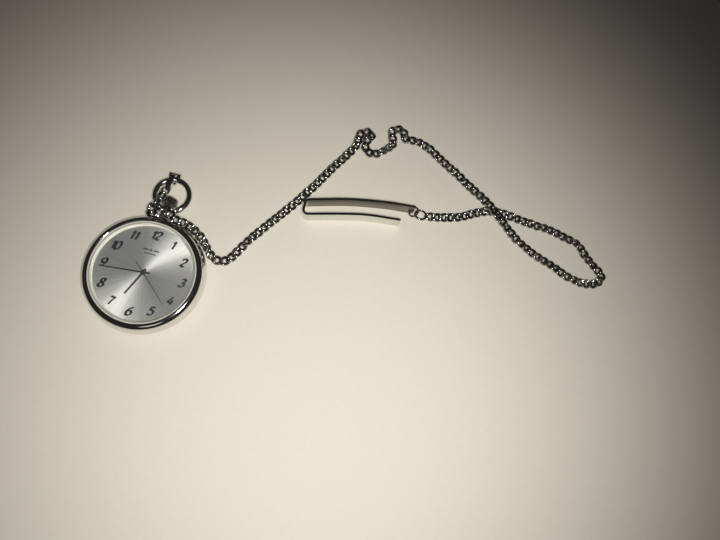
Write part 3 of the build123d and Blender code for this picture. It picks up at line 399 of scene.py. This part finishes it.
DIAL_TOP = 4.05
FIGURE_H = 3.1
FIGURE_W = 0.62
FIGURE_R = 14.35
FIGURE_RAISE = 0.035
STROKE_STEP = 0.002  # crossing strokes end at different heights
SUNK = 0.005  # how far strokes and bars go into the dial
NARROW_STEP = 0.80  # the share of a figure's width from one to the next where one is a 1
STROKE_STEPS = 7
SLANT = 0.22
NIB_WIDE, NIB_THIN, NIB_ANGLE = 0.30, 0.17, math.radians(38)
FIGURES = {
    "0": [
        [
            (0.36, 1.00), (0.10, 0.84), (0.03, 0.45), (0.12, 0.10), (0.28, 0.00), (0.50, 0.14),
            (0.59, 0.55), (0.50, 0.90), (0.36, 1.00),
        ],
    ],
    "1": [
        [
            (0.10, 0.76), (0.22, 0.84), (0.36, 1.00),
        ],
        [
            (0.36, 1.00), (0.34, 0.50), (0.33, 0.00),
        ],
    ],
    "2": [
        [
            (0.06, 0.74), (0.14, 0.94), (0.34, 1.00), (0.54, 0.88), (0.53, 0.66), (0.34, 0.40),
            (0.12, 0.17), (0.02, 0.03),
        ],
        [
            (0.02, 0.03), (0.16, 0.11), (0.40, 0.01), (0.60, 0.10),
        ],
    ],
    "3": [
        [
            (0.08, 0.84), (0.28, 1.00), (0.51, 0.88), (0.46, 0.65), (0.24, 0.55),
        ],
        [
            (0.24, 0.55), (0.50, 0.46), (0.56, 0.20), (0.34, 0.00), (0.10, 0.05), (0.03, 0.18),
        ],
    ],
    "4": [
        [
            (0.40, 1.00), (0.20, 0.62), (0.01, 0.28),
        ],
        [
            (0.01, 0.28), (0.32, 0.29), (0.64, 0.28),
        ],
        [
            (0.47, 0.62), (0.45, 0.30), (0.43, 0.00),
        ],
    ],
    "5": [
        [
            (0.17, 0.97), (0.14, 0.76), (0.11, 0.55),
        ],
        [
            (0.11, 0.55), (0.34, 0.61), (0.56, 0.44), (0.52, 0.13), (0.28, 0.00), (0.03, 0.10),
        ],
        [
            (0.17, 0.97), (0.36, 0.95), (0.58, 1.00),
        ],
    ],
    "6": [
        [
            (0.56, 0.98), (0.34, 0.90), (0.12, 0.64), (0.03, 0.32), (0.14, 0.04), (0.36, 0.00),
            (0.56, 0.16), (0.56, 0.40), (0.38, 0.55), (0.16, 0.48), (0.04, 0.28),
        ],
    ],
    "7": [
        [
            (0.04, 0.88), (0.14, 0.98), (0.36, 0.93), (0.60, 1.00),
        ],
        [
            (0.60, 1.00), (0.36, 0.52), (0.22, 0.00),
        ],
    ],
    "8": [
        [
            (0.31, 0.53), (0.12, 0.68), (0.13, 0.91), (0.33, 1.00), (0.51, 0.90), (0.48, 0.68),
            (0.31, 0.53), (0.08, 0.36), (0.05, 0.12), (0.28, 0.00), (0.53, 0.11), (0.54, 0.34),
            (0.31, 0.53),
        ],
    ],
}
FIGURES["9"] = [[(0.60 - x, 1.0 - y) for x, y in stroke] for stroke in FIGURES["6"]]


def smooth_line(points, steps=STROKE_STEPS):
    """A line through every point, rounded between them."""
    if len(points) < 3:
        return [Vector((*p, 0)) for p in points]
    p = [Vector((*q, 0)) for q in points]
    closed = (p[0] - p[-1]).length < 1e-6
    before = p[-2] if closed else p[0] * 2 - p[1]
    after = p[1] if closed else p[-1] * 2 - p[-2]
    p = [before, *p, after]
    out = []
    for i in range(1, len(p) - 2):
        a, b, c, d = p[i - 1 : i + 3]
        for k in range(steps):
            t = k / steps
            out.append(
                0.5
                * (
                    2 * b
                    + (c - a) * t
                    + (2 * a - 5 * b + 4 * c - d) * t**2
                    + (3 * b - a - 3 * c + d) * t**3
                )
            )
    out.append(p[-2])
    return out


def pen_stroke(verts, faces, line, place, raise_mm):
    """A stroke of a broad nib along line, as a thin raised slab."""
    first = len(verts)
    for i, p in enumerate(line):
        d = line[min(i + 1, len(line) - 1)] - line[max(i - 1, 0)]
        theta = math.atan2(d.y, d.x)
        half = 0.5 * math.hypot(
            NIB_WIDE * math.sin(theta - NIB_ANGLE), NIB_THIN * math.cos(theta - NIB_ANGLE)
        )
        side = Vector((-math.sin(theta), math.cos(theta), 0)) * half
        for q in (p + side, p - side):
            x, y = place(q.x, q.y)
            verts.append((x, y, DIAL_TOP + raise_mm))
            verts.append((x, y, DIAL_TOP - SUNK))
    n = len(line)
    for i in range(n - 1):
        a, b = first + 4 * i, first + 4 * i + 4
        faces += [
            (a, a + 2, b + 2, b),
            (a + 1, b + 1, b + 3, a + 3),
            (a, b, b + 1, a + 1),
            (a + 2, a + 3, b + 3, b + 2),
        ]
    e = first + 4 * (n - 1)
    faces += [(first, first + 1, first + 3, first + 2), (e, e + 2, e + 3, e + 1)]


ink = satin("dial_ink", (0.012, 0.012, 0.016), 0.6, 0.0, 0.001)
ink.b.inputs["Specular IOR Level"].default_value = 0.15
for hour in range(1, 13):
    at = math.radians(90 - 30 * hour)
    digits = str(hour)
    advance = FIGURE_W * FIGURE_H * (NARROW_STEP if "1" in digits else 1.0)
    left = FIGURE_R * math.cos(at) - (FIGURE_W * FIGURE_H + advance * (len(digits) - 1)) / 2
    foot = FIGURE_R * math.sin(at) - FIGURE_H / 2
    verts, faces = [], []
    lift = 0
    for i, digit in enumerate(digits):

        def place(x, y, i=i):
            return (left + i * advance + (x + SLANT * (y - 0.5)) * FIGURE_H, foot + y * FIGURE_H)

        for stroke in FIGURES[digit]:
            pen_stroke(verts, faces, smooth_line(stroke), place, FIGURE_RAISE + STROKE_STEP * lift)
            lift += 1
    figure = new_object(f"figure_{hour:02d}", verts, faces, ink, smooth=False)
    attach(figure, "case")

# A plain ornament of thin bars and a lozenge stands in the upper half of the dial.
ORNAMENT_Y = 8.6
BAR_RAISE = 0.03
BARS = [(-2.9, -0.95, 0.55, 0.0), (0.95, 2.9, 0.55, 0.0), (-2.2, 2.2, 0.42, -1.4)]  # x, x, height, y
LOZENGE_X, LOZENGE_Y, LOZENGE_RAISE, LOZENGE_SUNK = 0.75, 0.5, 0.1, 0.02
verts, faces = [], []
for x0, x1, height, dy in BARS:
    n = len(verts)
    y = ORNAMENT_Y + dy
    for z in (DIAL_TOP - SUNK, DIAL_TOP + BAR_RAISE):
        verts += [
            (x0, y - height / 2, z),
            (x1, y - height / 2, z),
            (x1, y + height / 2, z),
            (x0, y + height / 2, z),
        ]
    faces += [(n, n + 3, n + 2, n + 1), (n + 4, n + 5, n + 6, n + 7)]
    faces += [(n + i, n + (i + 1) % 4, n + 4 + (i + 1) % 4, n + 4 + i) for i in range(4)]
n = len(verts)
verts += [
    (LOZENGE_X, ORNAMENT_Y, DIAL_TOP),
    (0, ORNAMENT_Y + LOZENGE_Y, DIAL_TOP),
    (-LOZENGE_X, ORNAMENT_Y, DIAL_TOP),
    (0, ORNAMENT_Y - LOZENGE_Y, DIAL_TOP),
    (0, ORNAMENT_Y, DIAL_TOP + LOZENGE_RAISE),
    (0, ORNAMENT_Y, DIAL_TOP - LOZENGE_SUNK),
]
faces += [(n + i, n + (i + 1) % 4, n + 4) for i in range(4)]
faces += [(n + (i + 1) % 4, n + i, n + 5) for i in range(4)]
grey_ink = satin("ornament_ink", (0.10, 0.10, 0.11), 0.3, 0.6, 0.001)
ornament = new_object("dial_ornament", verts, faces, grey_ink, smooth=False)
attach(ornament, "case")

# ---------------------------------------------------------------- chain

TABLE_Z = 0.95
ROUTE = [
    (-2.3, 29.3, 6.55),
    (-3.1, 27.2, 6.5),
    (-4.0, 25.1, 6.4),
    (-4.1, 23.5, 6.5),
    (-4.3, 21.8, 6.9),
    (-3.2, 20.9, 7.4),
    (-1.3, 21.6, 7.5),
    (0.4, 23.8, 7.3),
    (3.0, 24.0, 7.3),
    (3.6, 21.4, 7.3),
    (6.2, 21.1, 6.7),
    (9.5, 21.2, 4.8),
    (13.9, 19.6, 1.9),
    (17.6, 16.1, TABLE_Z),
    (20.4, 12.9, TABLE_Z),
    (24.0, 11.6, TABLE_Z),
    (27.3, 13.6, TABLE_Z),
    (29.4, 18.0, TABLE_Z),
    (32.4, 23.6, TABLE_Z),
    (37.3, 31.0, TABLE_Z),
    (44.2, 41.2, TABLE_Z),
    (50.2, 51.4, TABLE_Z),
    (55.2, 61.2, TABLE_Z),
    (59.0, 67.4, TABLE_Z),
    (61.2, 71.8, TABLE_Z),
    (60.9, 76.8, 1.3),
    (63.4, 78.6, 2.0),
    (66.5, 77.2, 2.5),
    (64.2, 74.2, 2.3),
    (65.0, 70.4, 1.3),
    (69.4, 70.2, TABLE_Z),
    (73.2, 73.6, TABLE_Z),
    (75.6, 77.4, TABLE_Z),
    (73.0, 80.4, 1.2),
    (74.0, 83.4, 1.8),
    (78.2, 82.9, 2.2),
    (78.6, 79.8, 1.4),
    (84.6, 81.0, TABLE_Z),
    (91.6, 78.0, TABLE_Z),
    (98.4, 73.6, TABLE_Z),
    (104.6, 70.4, TABLE_Z),
    (110.3, 66.4, 1.8),
    (115.7, 62.9, 3.0),
    (122.0, 58.0, 3.0),
    (127.2, 53.8, 1.8),
    (132.4, 50.4, TABLE_Z),
    (139.6, 46.7, TABLE_Z),
    (147.6, 44.3, TABLE_Z),
    (154.6, 41.3, TABLE_Z),
    (160.8, 40.7, TABLE_Z),
    (166.0, 42.3, TABLE_Z),
    (167.4, 46.4, TABLE_Z),
    (163.2, 48.7, TABLE_Z),
    (159.3, 52.2, TABLE_Z),
    (155.6, 56.3, TABLE_Z),
    (150.2, 57.3, TABLE_Z),
    (143.6, 58.9, TABLE_Z),
    (135.4, 59.1, TABLE_Z),
    (127.0, 60.0, TABLE_Z),
    (119.0, 60.3, TABLE_Z),
    (112.8, 57.0, TABLE_Z),
    (106.6, 53.4, TABLE_Z),
    (100.4, 51.7, TABLE_Z),
    (95.0, 50.7, TABLE_Z),
]
LINK_LONG, LINK_WIDE, LINK_WIRE, LINK_TWIST = 4.9, 3.75, 1.25, math.radians(50)
LINK_FLAT = 0.92
LINK_PITCH = 2.75
LINK_STEPS, WIRE_STEPS = 30, 10
TANGENT_STEP = 0.01


def centreline(points):
    """The points of a smooth line with these control points, in metres."""
    curve = bpy.data.curves.new("chain_line", "CURVE")
    curve.dimensions = "3D"
    spline = curve.splines.new("NURBS")
    spline.points.add(len(points) - 1)
    for point, p in zip(spline.points, points):
        point.co = (*(Vector(p) * MM), 1)
    spline.order_u = 3
    spline.use_endpoint_u = True
    spline.resolution_u = 16
    obj = bpy.data.objects.new("chain_line", curve)
    bpy.context.scene.collection.objects.link(obj)
    bpy.context.view_layer.update()
    mesh = bpy.data.meshes.new_from_object(obj)
    line = [v.co.copy() for v in mesh.vertices]
    bpy.data.meshes.remove(mesh)
    bpy.data.objects.remove(obj)
    bpy.data.curves.remove(curve)
    return line


def link_template():
    """One curb link about the origin, long in x, in millimetres."""
    a, b = (LINK_LONG - LINK_WIRE) / 2, (LINK_WIDE - LINK_WIRE) / 2

    def middle(phi):
        twist = LINK_TWIST * math.cos(phi)
        across = b * math.sin(phi)
        return Vector((a * math.cos(phi), across * math.cos(twist), across * math.sin(twist)))

    verts = []
    for i in range(LINK_STEPS):
        phi = 2 * math.pi * i / LINK_STEPS
        along = (middle(phi + TANGENT_STEP) - middle(phi - TANGENT_STEP)).normalized()
        out = middle(phi)
        out = (out - along * out.dot(along)).normalized()
        side = along.cross(out)
        for k in range(WIRE_STEPS):
            beta = 2 * math.pi * k / WIRE_STEPS
            v = middle(phi) + (out * math.cos(beta) + side * math.sin(beta)) * (LINK_WIRE / 2)
            v.z = max(-LINK_FLAT, min(LINK_FLAT, v.z))
            verts.append(v)
    faces = []
    for i in range(LINK_STEPS):
        for k in range(WIRE_STEPS):
            j, l = (i + 1) % LINK_STEPS, (k + 1) % WIRE_STEPS
            faces.append(
                (i * WIRE_STEPS + k, j * WIRE_STEPS + k, j * WIRE_STEPS + l, i * WIRE_STEPS + l)
            )
    return verts, faces


line = centreline(ROUTE)
reach = [0.0]
for a, b in zip(line, line[1:]):
    reach.append(reach[-1] + (b - a).length / MM)


def at_reach(s):
    """The point in millimetres at that distance along the chain's line."""
    s = max(0.0, min(reach[-1], s))
    lo, hi = 0, len(reach) - 1
    while hi - lo > 1:
        mid = (lo + hi) // 2
        lo, hi = (mid, hi) if reach[mid] <= s else (lo, mid)
    t = (s - reach[lo]) / max(1e-9, reach[hi] - reach[lo])
    return line[lo].lerp(line[hi], t) / MM


FIRST_LINK, LAST_LINK = 0.9, 1.05
LEAN, LEAN_AT, LEAN_SPAN = 42.0, 36.0, 10.0  # the links lean on the case's side there
REACH_EACH_WAY = 1.3  # how far before and after itself a link looks for its direction
# The links' roll, in degrees: a slow drift along the chain, a waver, and a jitter from one to the next.
DRIFT, DRIFT_RATE, DRIFT_START = 14, 0.071, 1.0
WAVER, WAVER_RATE = 9, 0.53
JITTER, JITTER_RATE = 6, 2.1
BUNCH_LOOSENESS = 2.0  # how much more they roll in the bunch at the neck
ON_TABLE_Z, TABLE_GAP = 1.3, 0.02  # links with their middle below this rest on the table
link_count = round((reach[-1] - FIRST_LINK - LAST_LINK) / LINK_PITCH)
pitch = (reach[-1] - FIRST_LINK - LAST_LINK) / link_count
template, link_faces = link_template()
verts, faces = [], []
for i in range(link_count + 1):
    s = FIRST_LINK + pitch * i
    here = at_reach(s)
    along = (at_reach(s + REACH_EACH_WAY) - at_reach(s - REACH_EACH_WAY)).normalized()
    up = Vector((0, 0, 1))
    up = (up - along * up.dot(along)).normalized()
    beside_case = math.exp(-(((s - LEAN_AT) / LEAN_SPAN) ** 2))
    loose = 1.0 + BUNCH_LOOSENESS * math.exp(-((s / LEAN_SPAN) ** 2))
    drift = DRIFT * math.sin(DRIFT_RATE * s + DRIFT_START)
    shake = WAVER * math.sin(WAVER_RATE * s) + JITTER * math.sin(JITTER_RATE * i)
    roll = math.radians(drift + loose * shake + LEAN * beside_case)
    up = Matrix.Rotation(roll, 3, along) @ up
    turn = Matrix((along, up.cross(along), up)).transposed()
    placed = [here + turn @ v for v in template]
    low = min(v.z for v in placed)
    if low < TABLE_GAP or here.z < ON_TABLE_Z:
        placed = [v + Vector((0, 0, TABLE_GAP - low)) for v in placed]
    n = len(verts)
    verts += placed
    faces += [tuple(n + k for k in f) for f in link_faces]
chain = new_object("chain_links", verts, faces, made["chain_steel"])
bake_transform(chain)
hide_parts("chain_knee", "chain_run")

# ---------------------------------------------------------------- floor, light

FLOOR_FROM, FLOOR_TO = -900, 1100
floor = new_object(
    "floor",
    [
        (FLOOR_FROM, FLOOR_FROM, 0),
        (FLOOR_TO, FLOOR_FROM, 0),
        (FLOOR_TO, FLOOR_TO, 0),
        (FLOOR_FROM, FLOOR_TO, 0),
    ],
    [(0, 1, 2, 3)],
    satin("floor_card", (0.80, 0.765, 0.685), 0.75, 0.0, 0.008, 1.5, 0.975),
)


def lamp(kind, name, at, aim, watts, color, **values):
    """A lamp at a point in millimetres, aimed at another."""
    data = bpy.data.lights.new(name, kind)
    data.energy = watts
    data.color = color
    for key, value in values.items():
        setattr(data, key, value)
    obj = bpy.data.objects.new(name, data)
    bpy.context.scene.collection.objects.link(obj)
    obj.location = Vector(at) * MM
    obj.rotation_mode = "QUATERNION"
    obj.rotation_quaternion = (Vector(aim) - Vector(at)).to_track_quat("-Z", "Y")


lamp(
    "SPOT",
    "key",
    at=(80, -45, 225),
    aim=(66, -20, 0),
    watts=2.05,
    color=(1.0, 0.965, 0.90),
    spot_size=math.radians(92),
    spot_blend=1.0,
    shadow_soft_size=0.014,
)
lamp(
    "AREA",
    "fill",
    at=(60, -320, 420),
    aim=(70, 20, 0),
    watts=0.06,
    color=(0.95, 0.97, 1.0),
    shape="DISK",
    size=0.2,
)

WORLD_COLOR, WORLD_STRENGTH = (0.30, 0.29, 0.27, 1), 0.07
world = bpy.data.worlds.new("world")
world.use_nodes = True
world.node_tree.nodes["Background"].inputs["Color"].default_value = WORLD_COLOR
world.node_tree.nodes["Background"].inputs["Strength"].default_value = WORLD_STRENGTH
bpy.context.scene.world = world
bpy.context.scene.view_settings.view_transform = "Standard"
